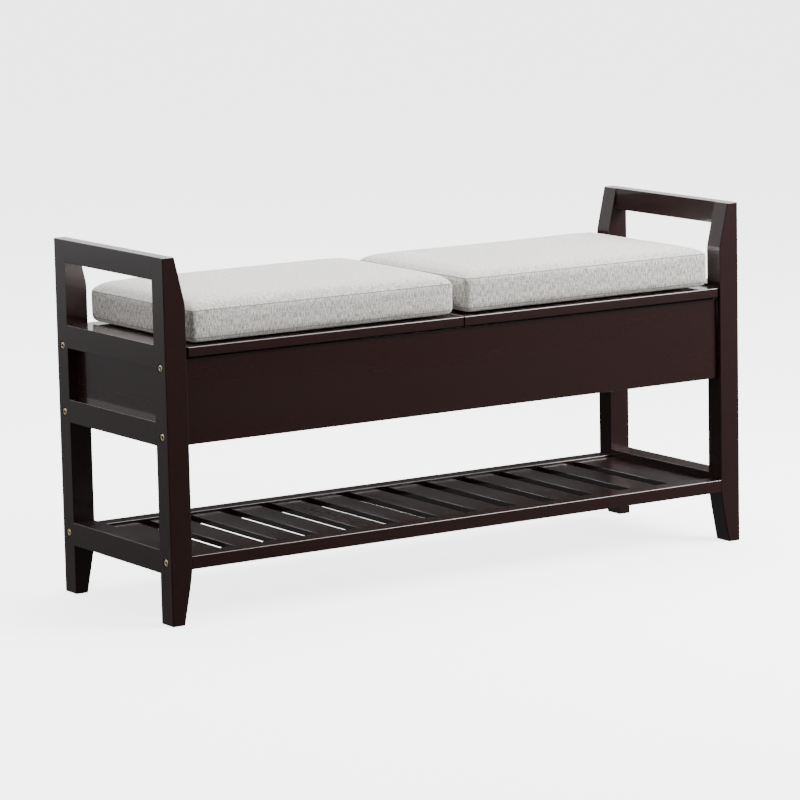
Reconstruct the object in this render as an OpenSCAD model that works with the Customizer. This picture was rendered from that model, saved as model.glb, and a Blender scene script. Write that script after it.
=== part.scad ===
// Storage bench: two end frames carry a storage box with two lift-up cushioned lids,
// and a slatted shoe shelf below it.
// Millimetres. X runs along the length, -Y is the front, +Z is up.
// The origin is on the floor, under the middle of the bench.

/* [Overall] */
// Length over the two end frames
bench_l = 1100; // [900:10:1350]
// Depth over the posts
bench_d = 350; // [290:5:430]
// Height of the arms above the floor
bench_h = 574; // [540:2:700]

/* [End frames] */
// Depth of a post, front to back
post_d = 35; // [30:1:42]
// Thickness of a post, along the bench, between its two tapers
post_t = 38; // [36:1:46]
// Thickness of a post at the floor
foot_t = 22; // [18:1:30]
// Thickness of a post at the top, and of the arm rail
arm_t = 21; // [19:1:28]
// Height at which the foot taper ends
foot_knee_z = 82; // [60:1:100]
// Height at which the upper taper starts
arm_knee_z = 500; // [470:1:530]
// Height of each rail between two posts
rail_h = 37; // [33:1:42]
// Height of the underside of the shelf end rail
shelf_rail_z = 80; // [60:1:110]
// How far the end panel lies behind the outer face of the frame
end_recess = 16; // [12:1:18]
// Thickness of the end panel
end_panel_t = 12; // [9:1:15]
// Depth of the grooves that hold the end panels and the bottom
groove = 5; // [4:0.5:6]

/* [Box] */
// Height of the underside of the box
box_z = 280; // [240:1:300]
// Height of the front and rear panels
panel_h = 135; // [125:1:160]
// Thickness of the front and rear panels
panel_t = 18; // [16:1:20]
// Thickness of the bottom
bottom_t = 6; // [5:0.5:7]
// Height of the bottom above the lower edge of the panels
bottom_rise = 3; // [2:0.5:4]
// Thickness of the centre divider
divider_t = 15; // [12:1:18]

/* [Lids and cushions] */
// Thickness of a lid
lid_t = 16; // [14:1:20]
// Gap between the box and the closed lids
lid_lift = 2; // [1.8:0.1:3]
// How far the seat rails stand above the top of the lids
seat_rail_rise = 4; // [0:1:10]
// Gap between a lid and the posts
lid_end_gap = 4; // [3:0.5:8]
// Gap between the two lids
lid_mid_gap = 2; // [1:0.5:6]
// How far the lids stop short of the front of the posts
lid_front_gap = 0.5; // [0:0.5:6]
// How far the lids stop short of the back of the posts
lid_rear_gap = 3; // [2:0.5:8]
// Height of a cushion at its edge
cushion_edge_h = 55; // [40:1:80]
// Rise of the crowned top over the edge
cushion_crown = 14; // [4:1:20]
// Setback of a cushion from the front and rear edges of its lid
cushion_inset = 8; // [4:1:20]
// Setback of a cushion from the post end of its lid
cushion_end_inset = 11; // [6:1:20]
// Setback of a cushion from the middle of the bench
cushion_mid_inset = 10; // [6:1:20]
// Corner radius of a cushion, seen from above
cushion_r = 8; // [5:1:30]
// Thickness of the hook-and-loop pads under a cushion
pad_t = 3; // [2:0.5:5]

/* [Shelf] */
// Height of the underside of the front and rear shelf rails
shelf_z = 86.5; // [70:0.5:110]
// Height of the front and rear shelf rails
shelf_rail_h = 21; // [19:0.5:30]
// Depth of the front and rear shelf rails, front to back
shelf_rail_d = 33; // [28:1:40]
// Thickness of a slat
slat_t = 9.5; // [6:0.5:10]
// How far the slats lie below the top of the shelf rails
slat_drop = 3.5; // [2:0.5:6]
// Gap between two slats
slat_gap = 26; // [15:1:30]
// Width of the first and the last slat
end_slat_w = 76; // [50:1:90]
// How deep a slat is let into each shelf rail
slat_tenon = 8; // [5:0.5:9]

/* [Hardware] */
// Diameter of the frame bolts
bolt_d = 6; // [5:0.5:8]
// Diameter of the bolt heads
bolt_head_d = 11.5; // [9:0.5:12]
// Height of the bolt heads
bolt_head_h = 3.6; // [2.5:0.1:3.8]
// Diameter of the recesses that take the bolt heads
recess_d = 14; // [12.5:0.5:16]
// Depth of these recesses in the outer faces of the posts
recess_depth = 4; // [3.6:0.1:6]
// How far the bolts reach in from the outer face of a post
bolt_l = 68; // [62:1:80]
// Height of the lower panel bolts above the underside of the box
bolt_low = 15; // [13:1:24]
// Depth of the upper panel bolts below the top of the panels
bolt_high = 13; // [11:1:24]
// Diameter of the barrel nuts
nut_d = 10; // [9:0.5:12]
// Length of the barrel nuts
nut_l = 13; // [10:0.5:13]
// Distance of a barrel nut from the end of its rail or panel
nut_in = 22; // [18:1:26]
// Diameter of the dowels
dowel_d = 8; // [6:1:8]
// Length of the dowels
dowel_l = 30; // [24:1:34]
// How deep a dowel goes into a post
dowel_in = 12; // [10:1:13]
// Length of a hinge, along the bench
hinge_l = 60; // [50:1:80]
// Width of a hinge leaf, from the pin
hinge_w = 24; // [20:1:28]
// Thickness of a hinge leaf
leaf_t = 1.5; // [1.2:0.1:1.7]
// Outer radius of the hinge knuckles
knuckle_r = 3.5; // [3:0.1:4]
// Radius of the hinge pins
pin_r = 1.6; // [1.3:0.1:2]
// Distance of the hinges from the two ends of a lid
hinge_in = 70; // [30:5:120]
// Distance from the hinge pin to the stay's pivot, and to its stud
stay_r = 68; // [55:1:75]
// Angle at the hinge pin between the stay's pivot and its stud, lid closed
stay_rest_angle = 14; // [12:1:18]
// Opening angle of the lids, where the stud meets the end of the slot
lid_open = 88; // [70:1:90]

/* [Fits] */
// Radial clearance of a pin in a knuckle or an arm
run_fit = 0.06; // [0.03:0.01:0.1]
// Radial clearance of a bolt, dowel or screw in its hole
hole_fit = 0.05; // [0.03:0.01:0.2]
// Clearance of a panel or slat in its groove
groove_fit = 0.2; // [0.1:0.05:0.5]
// Clearance between neighbours that move past each other
side_fit = 0.3; // [0.2:0.1:0.6]

/* [Hidden] */
$fn = 48;
SLATS = 13;
KNUCKLES = 5;
eps = 1;

// Main planes
x_out = bench_l / 2;
x_in = x_out - post_t;
y_out = bench_d / 2;
y_in = y_out - post_d;
post_y = y_out - post_d / 2;

// Heights of the end rails
box_rail_z = box_z;
box_top = box_z + panel_h;
lid_z = box_top + lid_lift;
lid_top = lid_z + lid_t;
seat_rail_z = lid_top + seat_rail_rise - rail_h;
arm_rail_z = bench_h - rail_h;

// Panels: the front and rear ones are centred on the posts, so bolts run down their middles
panel_in = post_y - panel_t / 2;
panel_out = post_y + panel_t / 2;
end_panel_x = x_out - end_recess - end_panel_t;
bottom_z = box_z + bottom_rise;
bottom_top = bottom_z + bottom_t;

// Bolts
panel_bolts = [box_z + bolt_low, box_top - bolt_high];
shelf_bolt = shelf_rail_z + rail_h / 2;
hex_r = 2.9;
hex_depth = 2.2;
nut_x = x_in - nut_in;
dowel_offset = 8;
divider_dowels = [bottom_top + 30, box_top - 30];

// Shelf
slat_top = shelf_z + shelf_rail_h - slat_drop;
slat_end_y = y_out - shelf_rail_d + slat_tenon;
slat_end_x = x_in - side_fit;
slat_w = (2 * (slat_end_x - end_slat_w) - (SLATS - 1) * slat_gap) / (SLATS - 2);

// Lids, left lid as drawn
lid_x0 = -x_in + lid_end_gap;
lid_x1 = -lid_mid_gap / 2;
lid_y0 = -y_out + lid_front_gap;
lid_y1 = y_out - lid_rear_gap;
cushion_x0 = lid_x0 + cushion_end_inset;
cushion_x1 = -cushion_mid_inset;
cushion_y0 = lid_y0 + cushion_inset;
cushion_y1 = lid_y1 - cushion_inset;
cushion_z = lid_top + pad_t;

// Hinge pin line: behind the rear panel, under the overhang of the lid
leaf_seat = 0.1;
axis_y = panel_out + leaf_seat + knuckle_r;
axis_z = lid_z - knuckle_r - side_fit;
hinge_mid = [lid_x0 + hinge_in, lid_x1 - hinge_in];
knuckle_l = hinge_l / KNUCKLES;

// Stay: pivot and stud lie equally far from the hinge pin, so the arm turns half as far as the lid
stay_drop = 8;
pivot_angle = asin(stay_drop / stay_r);
pivot_y = axis_y - stay_r * cos(pivot_angle);
pivot_z = axis_z - stay_drop;
stud_angle = pivot_angle + stay_rest_angle;
stud_y = axis_y - stay_r * cos(stud_angle);
stud_z = axis_z - stay_r * sin(stud_angle);
stay_short = 2 * stay_r * sin(stay_rest_angle / 2);
stay_long = 2 * stay_r * sin((stay_rest_angle + lid_open) / 2);
stay_tilt = (pivot_angle + stud_angle) / 2;
stay_t = 2;
stay_w = 12;
stay_x0 = -x_in + 3;
stay_x1 = stay_x0 + stay_t;
stay_pin_r = 2.5;
slot_r = stay_pin_r + 0.1;
stay_gap = 0.2;
stud_in = 8;
spacer_r = 4.5;
stud_head_r = 5;
stud_head_h = 2;
ear_t = 1.5;
rivet_h = 1.2;
ear_r = 7;
bracket_l = 28;
bracket_w = 20;
bracket_screw_x = stay_x1 + 14;
bracket_screw_y = 7;

// Screws
screw_r = 1.6;
screw_head_r = 3;
screw_l = 12;
divider_screw_l = 45;

WOOD = "#33211f";
WOOD_DARK = "#241817";
BRASS = "#a98f63";
STEEL = "#9a9da0";
FABRIC = "#d9d6ce";
BEECH = "#c9a77a";
BLACK = "#202022";

// ---- helpers ----

// Everything is drawn for the left end; side 1 mirrors it to the right end
module on_side(side) {
    mirror([side > 0 ? 1 : 0, 0, 0]) children();
}

// Box between two corners
module block(x0, x1, y0, y1, z0, z1) {
    translate([x0, y0, z0]) cube([x1 - x0, y1 - y0, z1 - z0]);
}

module rod_x(r, x0, x1, y, z) {
    translate([x0, y, z]) rotate([0, 90, 0]) cylinder(r = r, h = x1 - x0);
}

module rod_y(r, y0, y1, x, z) {
    translate([x, y1, z]) rotate([90, 0, 0]) cylinder(r = r, h = y1 - y0);
}

module rod_z(r, z0, z1, x, y) {
    translate([x, y, z0]) cylinder(r = r, h = z1 - z0);
}

// Outline in X and Z, drawn out along Y
module along_y(y0, y1) {
    translate([0, y1, 0]) rotate([90, 0, 0]) linear_extrude(height = y1 - y0) children();
}

// Outline in Y and Z, drawn out along X
module along_x(x0, x1) {
    translate([x0, 0, 0]) rotate([90, 0, 90]) linear_extrude(height = x1 - x0) children();
}

function curve(a, b, c, n) = [for (i = [0 : n]) let (t = i / n)
    (1 - t) * (1 - t) * a + 2 * t * (1 - t) * b + t * t * c];

// ---- end frames ----

// Post outline: straight outside, tapered inside at the foot and towards the arm
module post_outline() {
    foot_bend = 26;
    arm_bend = 7;
    foot_run = (post_t - foot_t) / foot_knee_z;
    arm_run = (post_t - arm_t) / (bench_h - arm_knee_z);
    foot_curve = curve([post_t - foot_run * foot_bend, foot_knee_z - foot_bend],
        [post_t, foot_knee_z], [post_t, foot_knee_z + foot_bend / 2], 5);
    arm_curve = curve([post_t, arm_knee_z - arm_bend],
        [post_t, arm_knee_z], [post_t - arm_run * arm_bend, arm_knee_z + arm_bend], 3);
    translate([-x_out, 0])
        polygon(concat([[0, 0], [foot_t, 0]], foot_curve, arm_curve, [[arm_t, bench_h], [0, bench_h]]));
}

// Middle of each rail's thickness, from the outer face
function rail_mid(t) = -x_out + t / 2;

// Dowels of one rail: two at each end
module rail_dowels(t, z, fit) {
    for (end = [-1, 1], dz = [-dowel_offset, dowel_offset]) {
        y0 = end > 0 ? y_in - (dowel_l - dowel_in) : -y_in - dowel_in;
        rod_y(dowel_d / 2 + fit, y0 - fit, y0 + dowel_l + fit, rail_mid(t), z + rail_h / 2 + dz);
    }
}

// All dowels of one end frame
module end_dowels(fit) {
    rail_dowels(post_t, shelf_rail_z, fit);
    rail_dowels(post_t, box_rail_z, fit);
    rail_dowels(post_t, seat_rail_z, fit);
    rail_dowels(arm_t, arm_rail_z, fit);
}

// End panel with its tongues; fit makes the groove that takes it
module end_board(fit) {
    block(-end_panel_x - end_panel_t - fit, -end_panel_x + fit, -y_in - groove - fit, y_in + groove + fit,
        box_rail_z + rail_h - groove - fit, seat_rail_z + groove + fit);
}

module bolt_holes() {
    for (y = [-post_y, post_y], z = concat(panel_bolts, [shelf_bolt])) {
        rod_x(bolt_d / 2 + hole_fit, -x_out - eps, -x_out + bolt_l + eps, y, z);
        rod_x(recess_d / 2, -x_out - eps, -x_out + recess_depth, y, z);
    }
}

module post(side, end) {
    color(WOOD) on_side(side) difference() {
        if (end < 0) along_y(-y_out, -y_in) post_outline();
        else along_y(y_in, y_out) post_outline();
        bolt_holes();
        end_dowels(hole_fit);
        end_board(groove_fit);
    }
}

// Rail between the posts of an end frame
module end_rail(side, t, z) {
    color(WOOD) on_side(side) difference() {
        block(-x_out, -x_out + t, -y_in, y_in, z, z + rail_h);
        rail_dowels(t, z, hole_fit);
        end_board(groove_fit);
    }
}

module end_panel(side) {
    color(WOOD) on_side(side) difference() {
        end_board(0);
        rod_x(stay_pin_r + hole_fit, -end_panel_x - stud_in - hole_fit, -end_panel_x + eps, stud_y, stud_z);
    }
}

// ---- box ----

// Barrel nut pockets in the two ends of a panel, open to the inside of the box
module panel_nut_pockets(end) {
    for (side = [-1, 1], z = panel_bolts) on_side(side) {
        if (end < 0) rod_y(nut_d / 2 + hole_fit, -post_y - nut_l / 2 - hole_fit, -panel_in + eps, -nut_x, z);
        else rod_y(nut_d / 2 + hole_fit, panel_in - eps, post_y + nut_l / 2 + hole_fit, -nut_x, z);
    }
}

// Bottom with its tongues; with a fit and a longer half length it makes the grooves that take it
module bottom_board(half_l, fit) {
    block(-half_l, half_l, -panel_in - groove - fit, panel_in + groove + fit, bottom_z - fit, bottom_top + fit);
}

// Front (end -1) or rear (end 1) board of the box, before its own holes
module box_board(end) {
    difference() {
        if (end < 0) block(-x_in, x_in, -panel_out, -panel_in, box_z, box_top);
        else block(-x_in, x_in, panel_in, panel_out, box_z, box_top);
        for (side = [-1, 1]) on_side(side) bolt_holes();
        panel_nut_pockets(end);
        bottom_board(x_in + eps, groove_fit);
    }
}

// Dowels between the front panel and the divider
module divider_dowel_set(fit) {
    for (z = divider_dowels)
        rod_y(dowel_d / 2 + fit, -panel_in - dowel_in - fit, -panel_in - dowel_in + dowel_l + fit, 0, z);
}

module front_panel() {
    color(WOOD) difference() {
        box_board(-1);
        divider_dowel_set(hole_fit);
    }
}

module rear_panel() {
    color(WOOD) difference() {
        box_board(1);
        divider_screw_set(hole_fit);
        for (side = [-1, 1]) on_side(side) hinge_frame_screw_set(hole_fit);
    }
}

module bottom_panel() {
    color(WOOD_DARK) bottom_board(x_in - side_fit, 0);
}

module centre_divider() {
    color(WOOD_DARK) difference() {
        block(-divider_t / 2, divider_t / 2, -panel_in, panel_in, bottom_top, box_top);
        divider_dowel_set(hole_fit);
        divider_screw_set(hole_fit);
    }
}

// ---- shelf ----

// Left edge of slat i, counted from 1
function slat_x(i) = i == 1 ? -slat_end_x
    : -slat_end_x + end_slat_w + slat_gap + (i - 2) * (slat_w + slat_gap);
function slat_width(i) = (i == 1 || i == SLATS) ? end_slat_w : slat_w;

module slat_board(i, fit) {
    block(slat_x(i) - fit, slat_x(i) + slat_width(i) + fit, -slat_end_y - fit, slat_end_y + fit,
        slat_top - slat_t - fit, slat_top + fit);
}

module slat(i) {
    color(WOOD) slat_board(i, 0);
}

module shelf_rail(end) {
    color(WOOD) difference() {
        if (end < 0) block(-x_in, x_in, -y_out, -y_out + shelf_rail_d, shelf_z, shelf_z + shelf_rail_h);
        else block(-x_in, x_in, y_out - shelf_rail_d, y_out, shelf_z, shelf_z + shelf_rail_h);
        for (i = [1 : SLATS]) slat_board(i, groove_fit);
        for (side = [-1, 1]) on_side(side) {
            bolt_holes();
            rod_z(nut_d / 2 + hole_fit, shelf_z - eps, shelf_bolt + nut_l / 2 + hole_fit, -nut_x, end * post_y);
        }
    }
}

// ---- fasteners ----

// Flat-headed bolt with a hex socket, its head at the bottom of the recess in the post
module frame_bolt(y, z) {
    bevel = 0.7;
    rim_h = bolt_head_h - bevel;
    translate([-x_out + recess_depth, y, z]) rotate([0, -90, 0]) difference() {
        union() {
            translate([0, 0, recess_depth - bolt_l]) cylinder(d = bolt_d, h = bolt_l - recess_depth);
            cylinder(d = bolt_head_d, h = rim_h);
            translate([0, 0, rim_h]) cylinder(d1 = bolt_head_d, d2 = bolt_head_d - 2 * bevel, h = bevel);
        }
        translate([0, 0, bolt_head_h - hex_depth]) cylinder(r = hex_r, h = hex_depth + eps, $fn = 6);
    }
}

module frame_bolts() {
    color(BRASS) for (side = [-1, 1], y = [-post_y, post_y], z = concat(panel_bolts, [shelf_bolt]))
        on_side(side) frame_bolt(y, z);
}

module barrel_nuts() {
    color(STEEL) for (side = [-1, 1], y = [-post_y, post_y]) on_side(side) {
        for (z = panel_bolts) difference() {
            rod_y(nut_d / 2, y - nut_l / 2, y + nut_l / 2, -nut_x, z);
            rod_x(bolt_d / 2 + hole_fit, -nut_x - nut_d, -nut_x + nut_d, y, z);
        }
        difference() {
            rod_z(nut_d / 2, shelf_bolt - nut_l / 2, shelf_bolt + nut_l / 2, -nut_x, y);
            rod_x(bolt_d / 2 + hole_fit, -nut_x - nut_d, -nut_x + nut_d, y, shelf_bolt);
        }
    }
}

module dowels() {
    color(BEECH) {
        for (side = [-1, 1]) on_side(side) end_dowels(0);
        divider_dowel_set(0);
    }
}

// Countersunk screw along +Z, head flush at z = 0; fit makes the hole for it
module screw(length, fit) {
    difference() {
        union() {
            cylinder(r = screw_r + fit, h = length + fit);
            cylinder(r1 = screw_head_r + fit, r2 = screw_r + fit, h = leaf_t);
        }
        if (fit == 0) for (turn = [0, 90]) rotate([0, 0, turn])
            translate([-1.5, -0.3, -eps]) cube([3, 0.6, eps + 0.8]);
    }
}

module divider_screw_set(fit) {
    for (z = divider_dowels) translate([0, panel_out, z]) rotate([90, 0, 0]) screw(divider_screw_l, fit);
}

module divider_screws() {
    color(STEEL) divider_screw_set(0);
}

module lid_bumpers() {
    bumper_r = 4.5;
    color(BLACK) for (side = [-1, 1]) on_side(side) for (x = [lid_x0 + 25, lid_x1 - 25])
        rod_z(bumper_r, box_top, lid_z - 0.1, x, -post_y);
}

// ---- hinges, drawn for the left lid ----

// Knuckles along the pin line; odd ones belong to the frame leaf, even ones to the lid leaf
module knuckles(mid, odd) {
    for (k = [0 : KNUCKLES - 1]) if ((k % 2 == 0) == odd) {
        x0 = mid - hinge_l / 2 + k * knuckle_l;
        rod_x(knuckle_r, x0 + side_fit / 2, x0 + knuckle_l - side_fit / 2, axis_y, axis_z);
    }
}

// Square notches that one leaf leaves around the knuckles of the other
module knuckle_notches(mid, odd) {
    reach = knuckle_r + side_fit;
    for (k = [0 : KNUCKLES - 1]) if ((k % 2 == 0) == odd) {
        x0 = mid - hinge_l / 2 + k * knuckle_l;
        block(x0 - side_fit / 2, x0 + knuckle_l + side_fit / 2,
            axis_y - reach, axis_y + reach, axis_z - reach, axis_z + reach + eps);
    }
}

// Places of the three screws of a leaf: along the bench, and out from the pin
function leaf_screws(mid) = [[mid - 20, 17], [mid, 11], [mid + 20, 17]];

module hinge_frame_screw_set(fit) {
    for (mid = hinge_mid, s = leaf_screws(mid))
        translate([s[0], panel_out + leaf_seat + leaf_t, axis_z - s[1]]) rotate([90, 0, 0]) screw(screw_l, fit);
}

module hinge_frame_screws() {
    color(BRASS) for (side = [-1, 1]) on_side(side) hinge_frame_screw_set(0);
}

module hinge_frame_leaves(side) {
    color(BRASS) on_side(side) for (mid = hinge_mid) difference() {
        union() {
            block(mid - hinge_l / 2, mid + hinge_l / 2, panel_out + leaf_seat, panel_out + leaf_seat + leaf_t,
                axis_z - hinge_w, axis_z);
            knuckles(mid, true);
        }
        knuckle_notches(mid, false);
        rod_x(pin_r, mid - hinge_l, mid + hinge_l, axis_y, axis_z);
        hinge_frame_screw_set(hole_fit);
    }
}

module hinge_lid_screw_set(fit) {
    for (mid = hinge_mid, s = leaf_screws(mid))
        translate([s[0], axis_y - s[1], lid_z - leaf_t]) screw(screw_l, fit);
}

module hinge_lid_leaves(side) {
    color(BRASS) on_side(side) for (mid = hinge_mid) difference() {
        union() {
            block(mid - hinge_l / 2, mid + hinge_l / 2, axis_y - hinge_w, axis_y, lid_z - leaf_t, lid_z);
            knuckles(mid, false);
        }
        knuckle_notches(mid, true);
        rod_x(pin_r + run_fit, mid - hinge_l, mid + hinge_l, axis_y, axis_z);
        hinge_lid_screw_set(hole_fit);
    }
}

// A pin with a small head at each end, outside the knuckles
module hinge_pins(side) {
    head_h = 1;
    color(BRASS) on_side(side) for (mid = hinge_mid) {
        rod_x(pin_r, mid - hinge_l / 2 - head_h, mid + hinge_l / 2 + head_h, axis_y, axis_z);
        rod_x(pin_r + 0.8, mid - hinge_l / 2 - head_h, mid - hinge_l / 2, axis_y, axis_z);
        rod_x(pin_r + 0.8, mid + hinge_l / 2, mid + hinge_l / 2 + head_h, axis_y, axis_z);
    }
}

// ---- lids and cushions ----

module bracket_screw_set(fit) {
    for (dy = [-bracket_screw_y, bracket_screw_y])
        translate([bracket_screw_x, pivot_y + dy, lid_z - leaf_t]) screw(screw_l, fit);
}

module lid(side) {
    color(WOOD) on_side(side) difference() {
        block(lid_x0, lid_x1, lid_y0, lid_y1, lid_z, lid_top);
        hinge_lid_screw_set(hole_fit);
        bracket_screw_set(hole_fit);
    }
}

module lid_screws(side) {
    color(BRASS) on_side(side) {
        hinge_lid_screw_set(0);
        bracket_screw_set(0);
    }
}

// Side view of a cushion: straight edges under a full, crowned top, about its own middle
function cushion_side(half) = concat([[-half, cushion_z], [half, cushion_z]],
    [for (i = [0 : 20]) let (t = sin(90 - 9 * i))
        [half * t, cushion_z + cushion_edge_h + cushion_crown * (1 - pow(t, 6))]]);

module rounded_plan(x0, x1, y0, y1, r) {
    translate([x0 + r, y0]) square([x1 - x0 - 2 * r, y1 - y0]);
    translate([x0, y0 + r]) square([x1 - x0, y1 - y0 - 2 * r]);
    for (x = [x0 + r, x1 - r], y = [y0 + r, y1 - r]) translate([x, y]) circle(r);
}

module cushion(side) {
    mid_x = (cushion_x0 + cushion_x1) / 2;
    mid_y = (cushion_y0 + cushion_y1) / 2;
    color(FABRIC) on_side(side) intersection() {
        translate([mid_x, 0, 0]) along_y(cushion_y0, cushion_y1)
            polygon(cushion_side((cushion_x1 - cushion_x0) / 2));
        translate([0, mid_y, 0]) along_x(cushion_x0, cushion_x1)
            polygon(cushion_side((cushion_y1 - cushion_y0) / 2));
        translate([0, 0, cushion_z]) linear_extrude(height = cushion_edge_h + cushion_crown)
            rounded_plan(cushion_x0, cushion_x1, cushion_y0, cushion_y1, cushion_r);
    }
}

// Hook-and-loop pads near the four corners of a cushion
module cushion_pads(side) {
    pad_l = 60;
    pad_w = 25;
    inset = 40;
    color(BLACK) on_side(side)
        for (x = [cushion_x0 + inset, cushion_x1 - inset - pad_l], y = [cushion_y0 + inset, cushion_y1 - inset - pad_w])
            block(x, x + pad_l, y, y + pad_w, lid_top, cushion_z);
}

// ---- lid stays, drawn for the left lid ----

// Stud on the end panel: a spacer, a pin that passes through the slot, and a head
module stay_studs() {
    color(STEEL) for (side = [-1, 1]) on_side(side) {
        rod_x(stay_pin_r, -end_panel_x - stud_in, stay_x1 + stay_gap + stud_head_h, stud_y, stud_z);
        rod_x(spacer_r, -end_panel_x, stay_x0 - stay_gap, stud_y, stud_z);
        rod_x(stud_head_r, stay_x1 + stay_gap, stay_x1 + stay_gap + stud_head_h, stud_y, stud_z);
    }
}

// Bracket under the lid, with the pivot pin of the arm
module stay_bracket(side) {
    ear_x0 = stay_x1 + stay_gap;
    color(STEEL) on_side(side) {
        difference() {
            union() {
                block(ear_x0, ear_x0 + bracket_w, pivot_y - bracket_l / 2, pivot_y + bracket_l / 2,
                    lid_z - leaf_t, lid_z);
                block(ear_x0, ear_x0 + ear_t, pivot_y - ear_r, pivot_y + ear_r, pivot_z, lid_z);
                rod_x(ear_r, ear_x0, ear_x0 + ear_t, pivot_y, pivot_z);
            }
            bracket_screw_set(hole_fit);
        }
        rod_x(stay_pin_r, stay_x0 - stay_gap, ear_x0 + ear_t, pivot_y, pivot_z);
        rod_x(spacer_r, stay_x0 - stay_gap - rivet_h, stay_x0 - stay_gap, pivot_y, pivot_z);
    }
}

// Slotted arm, hanging from the pivot past the stud
module stay_arm(side) {
    color(STEEL) on_side(side) translate([stay_x0, pivot_y, pivot_z]) rotate([stay_tilt, 0, 0])
        rotate([90, 0, 90]) linear_extrude(height = stay_t) difference() {
            union() {
                translate([-stay_w / 2, -stay_long]) square([stay_w, stay_long]);
                circle(d = stay_w);
                translate([0, -stay_long]) circle(d = stay_w);
            }
            circle(stay_pin_r + run_fit);
            translate([0, -stay_short]) circle(slot_r);
            translate([0, -stay_long]) circle(slot_r);
            translate([-slot_r, -stay_long]) square([2 * slot_r, stay_long - stay_short]);
        }
}

post(-1, -1);  // left_front_post
post(-1, 1);  // left_rear_post
post(1, -1);  // right_front_post
post(1, 1);  // right_rear_post
end_rail(-1, arm_t, arm_rail_z);  // left_arm_rail
end_rail(1, arm_t, arm_rail_z);  // right_arm_rail
end_rail(-1, post_t, seat_rail_z);  // left_seat_rail
end_rail(1, post_t, seat_rail_z);  // right_seat_rail
end_rail(-1, post_t, box_rail_z);  // left_box_rail
end_rail(1, post_t, box_rail_z);  // right_box_rail
end_rail(-1, post_t, shelf_rail_z);  // left_shelf_end_rail
end_rail(1, post_t, shelf_rail_z);  // right_shelf_end_rail
end_panel(-1);  // left_end_panel
end_panel(1);  // right_end_panel
front_panel();
rear_panel();
bottom_panel();
centre_divider();
shelf_rail(-1);  // shelf_front_rail
shelf_rail(1);  // shelf_rear_rail
slat(1);  // slat_01
slat(2);  // slat_02
slat(3);  // slat_03
slat(4);  // slat_04
slat(5);  // slat_05
slat(6);  // slat_06
slat(7);  // slat_07
slat(8);  // slat_08
slat(9);  // slat_09
slat(10);  // slat_10
slat(11);  // slat_11
slat(12);  // slat_12
slat(13);  // slat_13
frame_bolts();
barrel_nuts();
dowels();
divider_screws();
lid_bumpers();
stay_studs();
hinge_frame_leaves(-1);  // left_hinge_frame_leaves
hinge_frame_leaves(1);  // right_hinge_frame_leaves
hinge_pins(-1);  // left_hinge_pins
hinge_pins(1);  // right_hinge_pins
hinge_frame_screws();
lid(-1);  // left_lid
lid(1);  // right_lid
cushion(-1);  // left_cushion
cushion(1);  // right_cushion
cushion_pads(-1);  // left_cushion_pads
cushion_pads(1);  // right_cushion_pads
hinge_lid_leaves(-1);  // left_hinge_lid_leaves
hinge_lid_leaves(1);  // right_hinge_lid_leaves
lid_screws(-1);  // left_lid_screws
lid_screws(1);  // right_lid_screws
stay_bracket(-1);  // left_stay_bracket
stay_bracket(1);  // right_stay_bracket
stay_arm(-1);  // left_stay_arm
stay_arm(1);  // right_stay_arm
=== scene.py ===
import math

import bmesh
import bpy
from mathutils import Matrix, Vector, noise
from mathutils.bvhtree import BVHTree


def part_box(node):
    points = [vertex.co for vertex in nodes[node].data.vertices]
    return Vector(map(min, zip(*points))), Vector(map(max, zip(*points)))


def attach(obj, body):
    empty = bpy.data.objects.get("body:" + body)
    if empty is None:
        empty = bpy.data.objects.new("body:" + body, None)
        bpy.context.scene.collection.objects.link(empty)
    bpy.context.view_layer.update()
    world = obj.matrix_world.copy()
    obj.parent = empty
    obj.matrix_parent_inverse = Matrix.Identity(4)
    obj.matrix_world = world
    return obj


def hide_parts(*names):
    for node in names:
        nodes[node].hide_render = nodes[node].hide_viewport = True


# Metres throughout. -Y is the front of the bench, +Z is up, the origin is on the floor.

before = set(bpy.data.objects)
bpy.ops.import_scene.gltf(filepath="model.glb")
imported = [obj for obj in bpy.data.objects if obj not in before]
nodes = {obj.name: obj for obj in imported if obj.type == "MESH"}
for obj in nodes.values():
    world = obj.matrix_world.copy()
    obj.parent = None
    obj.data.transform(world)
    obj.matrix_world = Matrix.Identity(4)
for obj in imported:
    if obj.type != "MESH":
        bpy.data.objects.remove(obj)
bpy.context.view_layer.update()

SIDES = ("left", "right")
MM = 0.001

# ---- finishes, linear colours ----
LACQUER_DEEP = (0.0145, 0.0045, 0.0042, 1)
LACQUER_RED = (0.0225, 0.0066, 0.0062, 1)
BOARD_DEEP = (0.010, 0.0065, 0.0060, 1)
BOARD_LIGHT = (0.020, 0.0135, 0.0120, 1)
LINEN_PALE = (0.95, 0.93, 0.885, 1)
LINEN_GREY = (0.20, 0.180, 0.155, 1)
# Grey that the weave's valleys are darkened to as painted shade; also the lighter tone of the seam thread
LINEN_SHADE = (0.33, 0.31, 0.28, 1)
SEAM_THREAD = (0.20, 0.18, 0.15, 1)
BRASS_LIGHT = (0.86, 0.74, 0.50, 1)
BRASS_DARK = (0.42, 0.32, 0.18, 1)
# Painted shade inside the bolts' sockets and recesses
SOCKET_SHADE = (0.03, 0.022, 0.014, 1)
ZINC_LIGHT = (0.62, 0.63, 0.65, 1)
ZINC_DARK = (0.34, 0.35, 0.37, 1)
BEECH_PALE = (0.62, 0.42, 0.24, 1)
BEECH_DARK = (0.42, 0.26, 0.13, 1)
TAPE_BLACK = (0.012, 0.012, 0.013, 1)
TAPE_GREY = (0.035, 0.035, 0.038, 1)

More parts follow.
